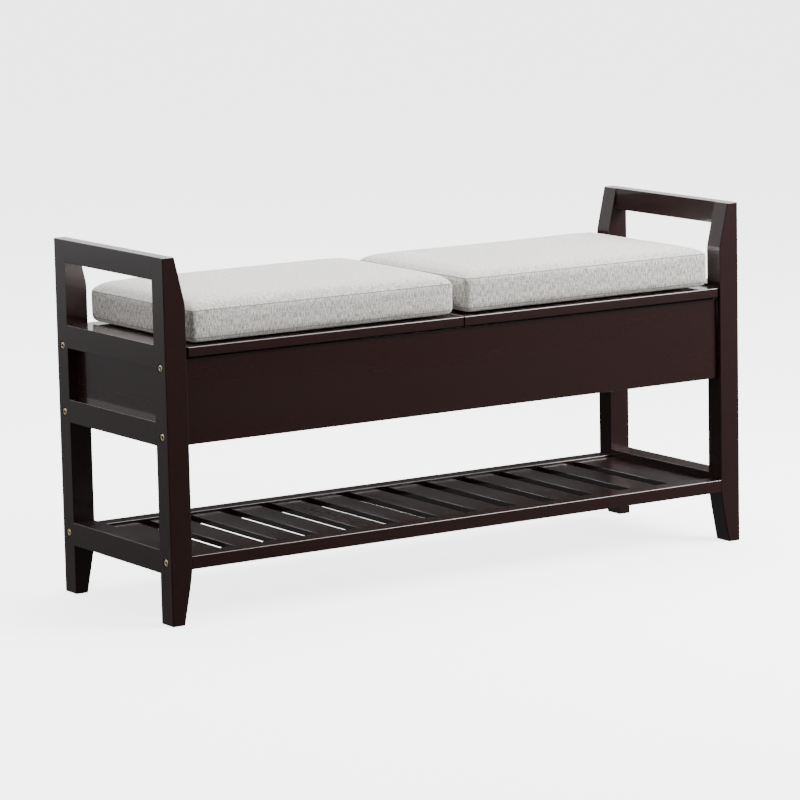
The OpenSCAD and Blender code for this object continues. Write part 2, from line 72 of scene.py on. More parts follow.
# ---- sizes of what the frame doesn't measure ----
# Rounding of edges: posts and shelf rails; end rails and where they meet the posts; arms; panels;
# slats; lids, along and at their ends
EDGE_WOOD = 1.4 * MM
EDGE_RAIL = 0.45 * MM
EDGE_ARM = 1.0 * MM
EDGE_PANEL = 0.8 * MM
EDGE_SLAT = 0.6 * MM
EDGE_LID = 1.6 * MM
EDGE_LID_END = 1.0 * MM
# Edges that turn more than this are sharp; on a bolt it takes more
SHARP_TURN = math.radians(30)
BOLT_TURN = math.radians(40)
# A sharp edge longer than this, in metres, is a board's own and not that of a hole
BOARD_EDGE = 0.1
# Smallest step, in metres, that tells one place from another
SAME_PLACE = 1e-5

# Frame bolts: depth of their recess, height of the two rows over and under the front panel's edges
RECESS_DEPTH = 4 * MM
BOLT_LOW = 15 * MM
BOLT_HIGH = 13 * MM
# Half a bolt's section, in millimetres: radius and height from its shank to the rim of its head
BOLT_PROFILE = ((3.0, -64.0), (3.0, 0.0), (5.75, 0.0), (5.75, 2.9), (5.65, 3.2), (5.4, 3.45), (5.1, 3.6))
# Its hex socket: corner radius, then share of that radius and height of each ring of points
HEX_R = 2.9
HEX_RINGS = ((1.05, 3.6), (1.0, 3.45), (1.0, 1.4))
BOLT_POINTS = 36

# Cushions: rows of the grid near an edge and up the boxing in millimetres, and the step between the rows
EDGE_ROWS = (0, 3, 7, 13, 20, 28)
BOXING_ROWS = [0, 0.6, 2, 4.5, 8, 12.5, 19, 26, 33, 40, 46]
CUSHION_STEP = 9 * MM
# The crown reaches its full height over this run, the faster the higher the power
CROWN_RUN = 165 * MM
CROWN_POWER = 24
CORNER = 9 * MM
BOTTOM_ROUND = 10 * MM
# Height of the top seam over the bottom; the right cushion is filled flatter
BOXING = {"left": 50 * MM, "right": 55 * MM}
SEAM_CREASE = 0.7
# The crown stays this much below the top of the cushion's space
TOP_DROP = 1.2 * MM
# The form starts this much inside its space, and no point is blown out further than the cap
CUSHION_START = 1.2 * MM
PUFF_CAP = 1.5 * MM
PUFF_FRAMES = 20
# Seams: radius of the cord, how far the upper one lies under the crease, height of the lower one over
# the bottom, depth and width of the dent, how far it reaches along the top, step between the cord's points
SEAM_RADIUS = 0.9 * MM
SEAM_DROP = 0.4 * MM
BOTTOM_SEAM = 7.5 * MM
SEAM_PULL = 0.5 * MM
SEAM_WIDTH = 3.6 * MM
SEAM_REACH = 30 * MM
SEAM_SPACING = 6 * MM
# Share of its radius that the cord sinks into the cover
CORD_SUNK = 0.45
# Waves along the seams and over the cover, per metre, and their size
WAVE_RATE = 38
RIPPLE_RATE = 14
RIPPLE_RISE = 20
RIPPLE = 0.35 * MM
SLACK = 0.25 * MM
# The panels' maps are moved apart by these, in metres, so that no two panels show the same yarns
FRONT_SHIFT = 3
SIDE_SHIFT = 7

# Linen: spacing of the yarns, how much they stray, and share of the flecks that the calm top keeps
YARN = 0.0017
YARN_DRIFT = 0.0016
TOP_CALM = 0.4
# On the top the flecks grow between these distances from the middle, as it rolls over to the seam
ROLL_START = 0.140
ROLL_END = 0.166

# ---- camera and light ----
# Degrees of azimuth, elevation and roll, then metres, and the focal length in mm on 36 mm
CAMERA_TURNS = (-32.703, 9.220, -1.205)
CAMERA_PLACE = (-3.5213, -5.4634, 1.3312)
CAMERA_LENS = 180.64
# Soft lights: name, place, target, size, watts, and whether reflections show them
LIGHTS = (
    ("key_light", (1.7, -1.6, 1.6), (0.1, 0, 0.4), (1.4, 1.1), 128, True),
    ("top_light", (0.6, 0.4, 3.4), (0, 0, 0.4), (3.6, 2.4), 200, True),
    ("fill_light", (-2.9, -1.2, 1.5), (0, 0, 0.3), (1.8, 1.6), 28, False),
)
DAYLIGHT = (0.98, 0.985, 1.0, 1)
# Strength of the floor, of the backdrop as the camera sees it, of the flag and of the glow overhead
FLOOR_GLOW = 3.4
BACKDROP_GLOW = 4.2
FLAG_GLOW = 0.035
OVERHEAD_GLOW = 5.0
# The flag stands upright behind the bench: its two ends along X, its place along Y, its height
FLAG_ENDS = (-0.42, 3.5)
FLAG_Y = 0.6
FLAG_TOP = 0.50


# ---- camera ----

def set_camera():
    """A long lens a little above the arms, turned towards the left end of the bench."""
    azimuth, elevation, roll = (math.radians(a) for a in CAMERA_TURNS)
    ahead = Vector((-math.sin(azimuth) * math.cos(elevation), math.cos(azimuth) * math.cos(elevation),
                    -math.sin(elevation)))
    level = Vector((math.cos(azimuth), math.sin(azimuth), 0))
    upright = level.cross(ahead)
    across = math.cos(roll) * level + math.sin(roll) * upright
    up = math.cos(roll) * upright - math.sin(roll) * level
    data = bpy.data.cameras.new("camera")
    data.lens = CAMERA_LENS
    data.sensor_width = 36
    data.clip_start, data.clip_end = 0.1, 100
    camera = bpy.data.objects.new("camera", data)
    bpy.context.collection.objects.link(camera)
    turn = Matrix((across, up, -ahead)).transposed().to_4x4()
    camera.matrix_world = Matrix.Translation(CAMERA_PLACE) @ turn
    bpy.context.scene.camera = camera


# ---- shader groups ----

def shader_group(name, inputs, outputs):
    tree = bpy.data.node_groups.new(name, "ShaderNodeTree")
    for label, kind, value in inputs:
        socket = tree.interface.new_socket(label, in_out="INPUT", socket_type=kind)
        if value is not None:
            socket.default_value = value
    for label, kind in outputs:
        tree.interface.new_socket(label, in_out="OUTPUT", socket_type=kind)
    return tree, tree.nodes.new("NodeGroupInput"), tree.nodes.new("NodeGroupOutput")


def add(tree, kind, links=(), **settings):
    """A node with its settings; links are (input name or number, socket or value)."""
    node = tree.nodes.new(kind)
    for key, value in settings.items():
        setattr(node, key, value)
    for key, value in links:
        if isinstance(value, bpy.types.NodeSocket):
            tree.links.new(value, node.inputs[key])
        else:
            node.inputs[key].default_value = value
    return node


def maths(tree, operation, a, b=None):
    links = [(0, a)] if b is None else [(0, a), (1, b)]
    return add(tree, "ShaderNodeMath", links, operation=operation).outputs[0]


def remap(tree, value, low, high, to_low=0.0, to_high=1.0):
    node = add(tree, "ShaderNodeMapRange", [(0, value), (1, low), (2, high), (3, to_low), (4, to_high)])
    return node.outputs[0]


def make_grain_group():
    """Streaks and pores that run along the first axis of the given vector."""
    tree, start, end = shader_group(
        "wood_grain",
        [("Vector", "NodeSocketVector", None), ("Streaks", "NodeSocketFloat", 14.0),
         ("Pores", "NodeSocketFloat", 90.0)],
        [("Figure", "NodeSocketFloat"), ("Pore", "NodeSocketFloat")])
    long_way = add(tree, "ShaderNodeMapping", [("Vector", start.outputs[0]), ("Scale", (0.05, 1.0, 1.0))])
    figure = add(tree, "ShaderNodeTexNoise", [("Vector", long_way.outputs[0]), ("Scale", start.outputs[1]),
                                              ("Detail", 4.0), ("Roughness", 0.55), ("Distortion", 0.1)])
    fine_way = add(tree, "ShaderNodeMapping", [("Vector", start.outputs[0]), ("Scale", (0.05, 1.0, 1.0))])
    pores = add(tree, "ShaderNodeTexNoise", [("Vector", fine_way.outputs[0]), ("Scale", start.outputs[2]),
                                             ("Detail", 3.0), ("Roughness", 0.7)])
    tree.links.new(remap(tree, figure.outputs[0], 0.25, 0.80), end.inputs[0])
    tree.links.new(remap(tree, pores.outputs[0], 0.52, 0.70), end.inputs[1])
    return tree


def make_weave_group():
    """Plain weave of uneven yarns: u crosses the warp, v the weft, both in metres."""
    tree, start, end = shader_group(
        "linen_weave",
        [("Vector", "NodeSocketVector", None), ("Yarn", "NodeSocketFloat", YARN),
         ("Slub", "NodeSocketFloat", 1.0)],
        [("Height", "NodeSocketFloat"), ("Fleck", "NodeSocketFloat"), ("Slubs", "NodeSocketFloat")])
    drift = add(tree, "ShaderNodeTexNoise", [("Vector", start.outputs[0]), ("Scale", 60.0), ("Detail", 2.0)])
    drift = add(tree, "ShaderNodeVectorMath", [(0, drift.outputs[1]), (1, (0.5, 0.5, 0.5))],
                operation="SUBTRACT")
    drift = add(tree, "ShaderNodeVectorMath", [(0, drift.outputs[0])], operation="SCALE")
    drift.inputs[3].default_value = YARN_DRIFT
    place = add(tree, "ShaderNodeVectorMath", [(0, start.outputs[0]), (1, drift.outputs[0])], operation="ADD")
    axes = add(tree, "ShaderNodeSeparateXYZ", [(0, place.outputs[0])])
    turns = maths(tree, "DIVIDE", math.pi, start.outputs[1])
    across = maths(tree, "MULTIPLY", axes.outputs[0], turns)
    along = maths(tree, "MULTIPLY", axes.outputs[1], turns)
    warp = maths(tree, "ABSOLUTE", maths(tree, "SINE", across))
    weft = maths(tree, "ABSOLUTE", maths(tree, "SINE", along))
    over = maths(tree, "MULTIPLY", maths(tree, "SINE", across), maths(tree, "SINE", along))
    cross = remap(tree, over, -0.25, 0.25)
    lift = maths(tree, "ADD", maths(tree, "MULTIPLY", warp, cross),
                 maths(tree, "MULTIPLY", weft, maths(tree, "SUBTRACT", 1.0, cross)))

    def uneven(scale, detail):
        """Noise drawn out along one direction of the yarns."""
        drawn = add(tree, "ShaderNodeMapping", [("Vector", start.outputs[0]), ("Scale", scale)])
        return add(tree, "ShaderNodeTexNoise", [("Vector", drawn.outputs[0]), ("Scale", 1.0),
                                                ("Detail", detail), ("Roughness", 0.6)]).outputs[0]
    thick = uneven((760.0, 100.0, 1.0), 3.0)
    thin = uneven((100.0, 700.0, 1.0), 2.0)
    slubs = maths(tree, "MULTIPLY", remap(tree, thick, 0.46, 0.68), start.outputs[2])
    warp_tone = remap(tree, thick, 0.43, 0.55, 1.0, 0.0)
    weft_tone = remap(tree, thin, 0.44, 0.56)
    flecks = add(tree, "ShaderNodeTexNoise", [("Vector", start.outputs[0]), ("Scale", 900.0), ("Detail", 1.0),
                                              ("Roughness", 0.7)])
    spots = remap(tree, flecks.outputs[0], 0.44, 0.56)
    tones = maths(tree, "ADD", maths(tree, "MULTIPLY", warp_tone, 0.75),
                  maths(tree, "MULTIPLY", weft_tone, 0.35))
    mixed = maths(tree, "ADD", tones, maths(tree, "MULTIPLY", spots, 0.6))
    fleck = remap(tree, mixed, 0.45, 1.25)
    height = maths(tree, "ADD", lift, maths(tree, "MULTIPLY", slubs, 0.7))
    # The boxing, and the roll beside the seams of the top, show the weave most. The second
    # coordinate is above 2 on the boxing, and runs from front to back through 0 on the top.
    panel = add(tree, "ShaderNodeSeparateXYZ", [(0, start.outputs[0])])
    away = maths(tree, "ABSOLUTE", panel.outputs[1])
    fleck = maths(tree, "MULTIPLY", fleck, remap(tree, away, ROLL_START, ROLL_END, TOP_CALM, 1.0))
    tree.links.new(height, end.inputs[0])
    tree.links.new(fleck, end.inputs[1])
    tree.links.new(slubs, end.inputs[2])
    return tree


def make_smudge_group():
    """Slow cloudy change over a surface, for tarnish and handling."""
    tree, start, end = shader_group(
        "smudges", [("Vector", "NodeSocketVector", None), ("Size", "NodeSocketFloat", 40.0)],
        [("Cloud", "NodeSocketFloat"), ("Speck", "NodeSocketFloat")])
    cloud = add(tree, "ShaderNodeTexNoise", [("Vector", start.outputs[0]), ("Scale", start.outputs[1]),
                                             ("Detail", 4.0), ("Roughness", 0.6)])
    finer = maths(tree, "MULTIPLY", start.outputs[1], 9.0)
    speck = add(tree, "ShaderNodeTexNoise", [("Vector", start.outputs[0]), ("Scale", finer), ("Detail", 2.0)])
    tree.links.new(remap(tree, cloud.outputs[0], 0.3, 0.7), end.inputs[0])
    tree.links.new(remap(tree, speck.outputs[0], 0.35, 0.65), end.inputs[1])
    return tree


# ---- materials ----

def new_material(name):
    material = bpy.data.materials.new(name)
    material.use_nodes = True
    tree = material.node_tree
    return material, tree, tree.nodes["Principled BSDF"], add(tree, "ShaderNodeTexCoord")


def use_group(tree, group, links):
    return add(tree, "ShaderNodeGroup", links, node_tree=group)


def blend_colours(tree, mask, low, high):
    node = add(tree, "ShaderNodeMix", [(0, mask), (6, low), (7, high)], data_type="RGBA")
    return node.outputs[2]


def raise_surface(tree, shader, height, strength, distance):
    bump = add(tree, "ShaderNodeBump", [("Height", height), ("Strength", strength), ("Distance", distance)])
    tree.links.new(bump.outputs[0], shader.inputs["Normal"])


# Turns that bring each board's long direction onto the first axis of the grain
GRAIN_TURNS = {"x": (0, 0, 0), "y": (0, 0, math.radians(90)), "z": (0, math.radians(90), 0)}


def lacquered_wood(grain, along):
    """Dark red-brown stain under a thick, clear, high-gloss lacquer."""
    material, tree, shader, place = new_material("lacquered_wood_" + along)
    turned = add(tree, "ShaderNodeMapping", [("Vector", place.outputs["Object"]),
                                             ("Rotation", GRAIN_TURNS[along])])
    figure = use_group(tree, grain, [("Vector", turned.outputs[0]), ("Streaks", 22.0), ("Pores", 320.0)])
    mask = maths(tree, "MULTIPLY", figure.outputs["Figure"],
                 maths(tree, "SUBTRACT", 1.0, maths(tree, "MULTIPLY", figure.outputs["Pore"], 0.2)))
    tree.links.new(blend_colours(tree, mask, LACQUER_DEEP, LACQUER_RED), shader.inputs["Base Color"])
    tree.links.new(remap(tree, figure.outputs["Figure"], 0, 1, 0.34, 0.24), shader.inputs["Roughness"])
    raise_surface(tree, shader, figure.outputs["Pore"], 0.03, 0.00002)
    shader.inputs["Coat Weight"].default_value = 1.0
    shader.inputs["Coat Roughness"].default_value = 0.045
    shader.inputs["Specular IOR Level"].default_value = 0.35
    return material


def dark_board(grain):
    material, tree, shader, place = new_material("dark_board")
    figure = use_group(tree, grain, [("Vector", place.outputs["Object"]), ("Streaks", 30.0),
                                     ("Pores", 400.0)])
    tree.links.new(blend_colours(tree, figure.outputs["Figure"], BOARD_DEEP, BOARD_LIGHT),
                   shader.inputs["Base Color"])
    tree.links.new(remap(tree, figure.outputs["Pore"], 0, 1, 0.34, 0.5), shader.inputs["Roughness"])
    raise_surface(tree, shader, figure.outputs["Pore"], 0.2, 0.0001)
    return material


def turned_beech(grain):
    material, tree, shader, place = new_material("beech")
    turned = add(tree, "ShaderNodeMapping", [("Vector", place.outputs["Object"]),
                                             ("Rotation", GRAIN_TURNS["y"])])
    figure = use_group(tree, grain, [("Vector", turned.outputs[0]), ("Streaks", 120.0), ("Pores", 700.0)])
    tree.links.new(blend_colours(tree, figure.outputs["Figure"], BEECH_DARK, BEECH_PALE),
                   shader.inputs["Base Color"])
    shader.inputs["Roughness"].default_value = 0.55
    raise_surface(tree, shader, figure.outputs["Pore"], 0.3, 0.0001)
    return material


def plated_metal(smudges, name, dark, light, size, rough_low, rough_high):
    material, tree, shader, place = new_material(name)
    cloud = use_group(tree, smudges, [("Vector", place.outputs["Object"]), ("Size", size)])
    mask = maths(tree, "ADD", maths(tree, "MULTIPLY", cloud.outputs["Cloud"], 0.7),
                 maths(tree, "MULTIPLY", cloud.outputs["Speck"], 0.3))
    tree.links.new(blend_colours(tree, mask, dark, light), shader.inputs["Base Color"])
    tree.links.new(remap(tree, mask, 0, 1, rough_high, rough_low), shader.inputs["Roughness"])
    raise_surface(tree, shader, cloud.outputs["Speck"], 0.12, 0.00008)
    shader.inputs["Metallic"].default_value = 1.0
    return material


def paint_socket_shade(material):
    """Painted shade: darkens what lies inside the heads of the bolts, below their flat ends, where the
    sockets and recesses are in shadow.
    """
    tree = material.node_tree
    shader = tree.nodes["Principled BSDF"]
    colour = shader.inputs["Base Color"].links[0].from_socket
    place = add(tree, "ShaderNodeTexCoord")
    axes = add(tree, "ShaderNodeSeparateXYZ", [(0, place.outputs["Object"])])
    far_out = maths(tree, "ABSOLUTE", axes.outputs[0])
    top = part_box("frame_bolts")[1][0]
    inside = remap(tree, far_out, top - 0.5 * MM, top - 0.2 * MM, 1.0, 0.0)
    # Painted shade: below the flat end the brass blends to the dark socket colour
    tree.links.new(blend_colours(tree, inside, colour, SOCKET_SHADE), shader.inputs["Base Color"])
    return material


def linen(weave):
    """Pale slubbed linen, with painted shade in the weave's valleys; the weave follows the cushion's own
    panels.
    """
    material, tree, shader, place = new_material("linen")
    cloth = add(tree, "ShaderNodeUVMap", uv_map="panels")
    woven = use_group(tree, weave, [("Vector", cloth.outputs[0]), ("Yarn", YARN), ("Slub", 1.0)])
    fleck = maths(tree, "MULTIPLY", woven.outputs["Fleck"], 0.9)
    flecked = blend_colours(tree, fleck, LINEN_PALE, LINEN_GREY)
    # Painted shade: the low parts of the weave are darkened towards LINEN_SHADE
    painted_valley_shade = remap(tree, woven.outputs["Height"], 0.15, 0.85, 0.55, 0.0)
    woven_and_shaded = blend_colours(tree, painted_valley_shade, flecked, LINEN_SHADE)
    clouds = add(tree, "ShaderNodeTexNoise", [("Vector", place.outputs["Object"]), ("Scale", 7.0),
                                              ("Detail", 2.0)])
    fading = remap(tree, clouds.outputs[0], 0.35, 0.75, 0.0, 0.06)
    faded = blend_colours(tree, fading, woven_and_shaded, LINEN_GREY)
    tree.links.new(faded, shader.inputs["Base Color"])
    shader.inputs["Roughness"].default_value = 0.9
    shader.inputs["Sheen Weight"].default_value = 0.25
    shader.inputs["Sheen Roughness"].default_value = 0.5
    shader.inputs["Specular IOR Level"].default_value = 0.2
    raise_surface(tree, shader, woven.outputs["Height"], 0.6, 0.0004)
    return material


def seam_thread(smudges):
    material, tree, shader, place = new_material("seam_thread")
    cloud = use_group(tree, smudges, [("Vector", place.outputs["Object"]), ("Size", 300.0)])
    tree.links.new(blend_colours(tree, cloud.outputs["Cloud"], SEAM_THREAD, LINEN_SHADE),
                   shader.inputs["Base Color"])
    shader.inputs["Roughness"].default_value = 0.9
    raise_surface(tree, shader, cloud.outputs["Speck"], 0.4, 0.0002)
    return material


def black_tape(smudges, name, rough):
    material, tree, shader, place = new_material(name)
    cloud = use_group(tree, smudges, [("Vector", place.outputs["Object"]), ("Size", 500.0)])
    tree.links.new(blend_colours(tree, cloud.outputs["Cloud"], TAPE_BLACK, TAPE_GREY),
                   shader.inputs["Base Color"])
    shader.inputs["Roughness"].default_value = rough
    raise_surface(tree, shader, cloud.outputs["Speck"], 0.5, 0.0004)
    return material


# ---- mesh helpers ----

def new_object(name, mesh):
    thing = bpy.data.objects.new(name, mesh)
    bpy.context.collection.objects.link(thing)
    return thing


def paint(thing, material):
    thing.data.materials.clear()
    thing.data.materials.append(material)


def box_of(name):
    low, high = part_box(name)
    return Vector(low), Vector(high)


def round_edges(thing, width, segments=3):
    """Rounds the edges that carry a bevel weight, and keeps the flat faces truly flat."""
    edge = thing.modifiers.new("rounded_edges", "BEVEL")
    edge.limit_method = "WEIGHT"
    edge.width = width
    edge.segments = segments
    edge.use_clamp_overlap = True
    flat = thing.modifiers.new("flat_faces", "WEIGHTED_NORMAL")
    flat.weight = 100
    flat.keep_sharp = True


def mesh_from(bm, name):
    mesh = bpy.data.meshes.new(name)
    bm.to_mesh(mesh)
    bm.free()
    return mesh


def settle(thing, body, replaced=()):
    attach(thing, body)
    if replaced:
        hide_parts(*replaced)


def board(name, low, high, along, material, edge=EDGE_WOOD, end_edge=0.0):
    """Sawn board: long edges rounded by edge, the edges of its two ends by end_edge."""
    axis = "xyz".index(along)
    bm = bmesh.new()
    bmesh.ops.create_cube(bm, size=1)
    for v in bm.verts:
        v.co = Vector(low[k] + (v.co[k] + 0.5) * (high[k] - low[k]) for k in range(3))
    weight = bm.edges.layers.float.new("bevel_weight_edge")
    for e in bm.edges:
        run = e.verts[1].co - e.verts[0].co
        e[weight] = 1.0 if abs(run[axis]) > 1e-6 else end_edge / edge
        e.smooth = e[weight] > 0
    for f in bm.faces:
        f.smooth = True
    bmesh.ops.recalc_face_normals(bm, faces=bm.faces)
    thing = new_object(name, mesh_from(bm, name))
    round_edges(thing, edge)
    paint(thing, material)
    return thing


def clean_copy(node):
    """The node's surface as joined flat faces, all shaded smooth."""
    bm = bmesh.new()
    bm.from_mesh(nodes[node].data)
    bmesh.ops.remove_doubles(bm, verts=bm.verts, dist=1e-6)
    bmesh.ops.dissolve_limit(bm, angle_limit=math.radians(0.5), verts=bm.verts, edges=bm.edges)
    for f in bm.faces:
        f.smooth = True
    return bm


def copied_board(name, node, material):
    """Copy of a board with its holes and grooves; its long edges are eased."""
    bm = clean_copy(node)
    weight = bm.edges.layers.float.new("bevel_weight_edge")
    for e in bm.edges:
        sharp = len(e.link_faces) == 2 and e.calc_face_angle(0) > SHARP_TURN
        if sharp and e.calc_length() > BOARD_EDGE:
            e[weight] = 1.0
        elif sharp:
            e.smooth = False
    thing = new_object(name, mesh_from(bm, name))
    round_edges(thing, EDGE_PANEL, 2)
    paint(thing, material)
    return thing


def hull_outline(points):
    """Points of a convex outline in order."""
    points = sorted(set((round(a, 6), round(b, 6)) for a, b in points))

    def half(run):
        chain = []
        for p in run:
            while len(chain) > 1 and ((chain[-1][0] - chain[-2][0]) * (p[1] - chain[-2][1])
                                      - (chain[-1][1] - chain[-2][1]) * (p[0] - chain[-2][0])) <= 1e-10:
                chain.pop()
            chain.append(p)
        return chain[:-1]
    return half(points) + half(points[::-1])


def off_outline(x, z, outline):
    """Distance from a point to the nearest side of an outline."""
    best = 1e9
    for (ax, az), (bx, bz) in zip(outline, outline[1:] + outline[:1]):
        run = Vector((bx - ax, bz - az))
        share = min(max(Vector((x - ax, z - az)).dot(run) / run.length_squared, 0), 1)
        best = min(best, (Vector((ax, az)) + run * share - Vector((x, z))).length)
    return best


def copies(tree_name, name, places, piece, material):
    """One mesh of copies of piece, one at each (place, turn), made by a node tree."""
    tree = bpy.data.node_groups.get(tree_name) or placing_tree(tree_name)
    points = bpy.data.meshes.new(name)
    points.from_pydata([p for p, _ in places], [], [])
    turns = points.attributes.new("turn", "FLOAT_VECTOR", "POINT")
    for k, (_, turn) in enumerate(places):
        turns.data[k].vector = turn
    holder = new_object(name, points)
    return grown(holder, tree, {"Piece": piece, "Finish": material}, [piece])


def placing_tree(name):
    tree = bpy.data.node_groups.new(name, "GeometryNodeTree")
    for label, kind in (("Geometry", "NodeSocketGeometry"), ("Piece", "NodeSocketObject"),
                        ("Finish", "NodeSocketMaterial")):
        tree.interface.new_socket(label, in_out="INPUT", socket_type=kind)
    tree.interface.new_socket("Geometry", in_out="OUTPUT", socket_type="NodeSocketGeometry")
    start, end = tree.nodes.new("NodeGroupInput"), tree.nodes.new("NodeGroupOutput")
    piece = add(tree, "GeometryNodeObjectInfo", [("Object", start.outputs["Piece"]), ("As Instance", True)])
    turn = add(tree, "GeometryNodeInputNamedAttribute", [("Name", "turn")], data_type="FLOAT_VECTOR")
    spin = add(tree, "FunctionNodeEulerToRotation", [(0, turn.outputs[0])])
    placed = add(tree, "GeometryNodeInstanceOnPoints", [("Points", start.outputs["Geometry"]),
                                                        ("Instance", piece.outputs["Geometry"]),
                                                        ("Rotation", spin.outputs[0])])
    whole = add(tree, "GeometryNodeRealizeInstances", [("Geometry", placed.outputs[0])])
    finished = add(tree, "GeometryNodeSetMaterial", [("Geometry", whole.outputs[0]),
                                                     ("Material", start.outputs["Finish"])])
    tree.links.new(finished.outputs[0], end.inputs[0])
    return tree


def seam_tree():
    """A round cord along the loop of edges that it is given."""
    tree = bpy.data.node_groups.new("seam_cord", "GeometryNodeTree")
    for label, kind, value in (("Geometry", "NodeSocketGeometry", None),
                               ("Radius", "NodeSocketFloat", SEAM_RADIUS),
                               ("Spacing", "NodeSocketFloat", 4 * MM),
                               ("Finish", "NodeSocketMaterial", None)):
        socket = tree.interface.new_socket(label, in_out="INPUT", socket_type=kind)
        if value is not None:
            socket.default_value = value
    tree.interface.new_socket("Geometry", in_out="OUTPUT", socket_type="NodeSocketGeometry")
    start, end = tree.nodes.new("NodeGroupInput"), tree.nodes.new("NodeGroupOutput")
    path = add(tree, "GeometryNodeMeshToCurve", [("Mesh", start.outputs["Geometry"])])
    even = add(tree, "GeometryNodeResampleCurve", [("Curve", path.outputs[0]),
                                                   ("Length", start.outputs["Spacing"])], mode="LENGTH")
    ring = add(tree, "GeometryNodeCurvePrimitiveCircle", [("Resolution", 8),
                                                          ("Radius", start.outputs["Radius"])])
    tube = add(tree, "GeometryNodeCurveToMesh", [("Curve", even.outputs[0]),
                                                 ("Profile Curve", ring.outputs[0])])
    smooth = add(tree, "GeometryNodeSetShadeSmooth", [("Geometry", tube.outputs[0])])
    finished = add(tree, "GeometryNodeSetMaterial", [("Geometry", smooth.outputs[0]),
                                                     ("Material", start.outputs["Finish"])])
    whole = add(tree, "GeometryNodeRealizeInstances", [("Geometry", finished.outputs[0])])
    tree.links.new(whole.outputs[0], end.inputs[0])
    return tree


def grown(holder, tree, values, helpers=()):
    """Runs a node tree on holder and keeps the result as a plain mesh."""
    growth = holder.modifiers.new(tree.name, "NODES")
    growth.node_group = tree
    for item in tree.interface.items_tree:
        if item.item_type == "SOCKET" and item.in_out == "INPUT" and item.name in values:
            growth[item.identifier] = values[item.name]
    graph = bpy.context.evaluated_depsgraph_get()
    mesh = bpy.data.meshes.new_from_object(holder.evaluated_get(graph), depsgraph=graph)
    mesh.name = holder.name
    holder.modifiers.clear()
    holder.data = mesh
    for helper in helpers:
        bpy.data.objects.remove(helper)
    return holder


# ---- end frames ----

def make_posts(wood):
    """Posts with their bolt recesses; outer corners rounder than those that the rails meet."""
    for node in [f"{side}_{end}_post" for side in SIDES for end in ("front", "rear")]:
        low, high = box_of(node)
        outline = hull_outline((v.co.x, v.co.z) for v in nodes[node].data.vertices)
        bm = clean_copy(node)
        weight = bm.edges.layers.float.new("bevel_weight_edge")
        outer = low.y if abs(low.y) > abs(high.y) else high.y
        for e in bm.edges:
            if len(e.link_faces) != 2 or e.calc_face_angle(0) < SHARP_TURN:
                continue
            ends = [v.co for v in e.verts]
            on_outline = all(off_outline(p.x, p.z, outline) < SAME_PLACE for p in ends)
            crosses = abs(ends[0].y - ends[1].y) > 0.02
            on_face = min(max(abs(p.y - y) for p in ends) for y in (low.y, high.y)) < SAME_PLACE
            if on_outline and (crosses or on_face):
                at_rail = on_face and max(abs(p.y - outer) for p in ends) > SAME_PLACE
                e[weight] = EDGE_RAIL / EDGE_WOOD if at_rail else 1.0
            else:
                e.smooth = False
        post = new_object(node + "_wood", mesh_from(bm, node + "_wood"))
        round_edges(post, EDGE_WOOD)
        paint(post, wood["z"])
        settle(post, "frame", [node])


def make_end_rails(wood):
    for side in SIDES:
        for rail in ("arm_rail", "seat_rail", "box_rail", "shelf_end_rail", "end_panel"):
            node = f"{side}_{rail}"
            low, high = box_of(node)
            edge = EDGE_ARM if rail == "arm_rail" else EDGE_RAIL
            piece = board(node + "_wood", low, high, "y", wood["y"], edge=edge)
            settle(piece, "frame", [node])


# ---- box ----

def make_box(wood, inner_board):
    for node in ("front_panel", "rear_panel"):
        piece = copied_board(node + "_wood", node, wood["x"])
        settle(piece, "frame", [node])
    for node, along in (("bottom_panel", "x"), ("centre_divider", "y")):
        low, high = box_of(node)
        piece = board(node + "_board", low, high, along, inner_board, edge=EDGE_PANEL)
        settle(piece, "frame", [node])


# ---- shelf ----

def make_shelf(wood):
    for node in ("shelf_front_rail", "shelf_rear_rail"):
        low, high = box_of(node)
        piece = board(node + "_wood", low, high, "x", wood["x"])
        settle(piece, "frame", [node])
    slats = [f"slat_{k:02d}" for k in range(1, 14)]
    for node in (slats[0], slats[-1]):
        low, high = box_of(node)
        piece = board(node + "_wood", low, high, "y", wood["y"], edge=EDGE_SLAT)
        settle(piece, "frame", [node])
    low, high = box_of(slats[1])
    middle = (low + high) / 2
    one = board("slat", low - middle, high - middle, "y", wood["y"], edge=EDGE_SLAT)
    places = []
    for node in slats[1:-1]:
        low, high = box_of(node)
        places.append(((low + high) / 2, (0, 0, 0)))
    row = copies("slats_in_a_row", "shelf_slats", places, one, wood["y"])
    settle(row, "frame", slats[1:-1])


# ---- lids ----

def make_lids(wood):
    for side in SIDES:
        node = side + "_lid"
        low, high = box_of(node)
        piece = board(node + "_wood", low, high, "x", wood["x"], edge=EDGE_LID, end_edge=EDGE_LID_END)
        settle(piece, node, [node])


# ---- cushions ----

def plan_ring(half_x, half_y, radius, per_corner):
    """Rounded rectangle about the origin, counter-clockwise, as (x, y)."""
    ring = []
    for corner, (sx, sy) in enumerate(((1, 1), (-1, 1), (-1, -1), (1, -1))):
        for k in range(per_corner + 1):
            a = math.radians(90 * corner + 90 * k / per_corner)
            ring.append((sx * (half_x - radius) + radius * math.cos(a),
                         sy * (half_y - radius) + radius * math.sin(a)))
    return ring


def stations(half):
    """Positions from -half to half, closer together near both ends."""
    ends = [half - step * MM for step in EDGE_ROWS]
    count = round(2 * ends[-1] / CUSHION_STEP)
    between = [ends[-1] * (2 * k / count - 1) for k in range(1, count)]
    return [-e for e in ends] + between + ends[::-1]


def rise(run):
    """Share of the crown reached at a distance from the seam: steep first, then level."""
    return 1 - (1 - min(run / CROWN_RUN, 1)) ** CROWN_POWER


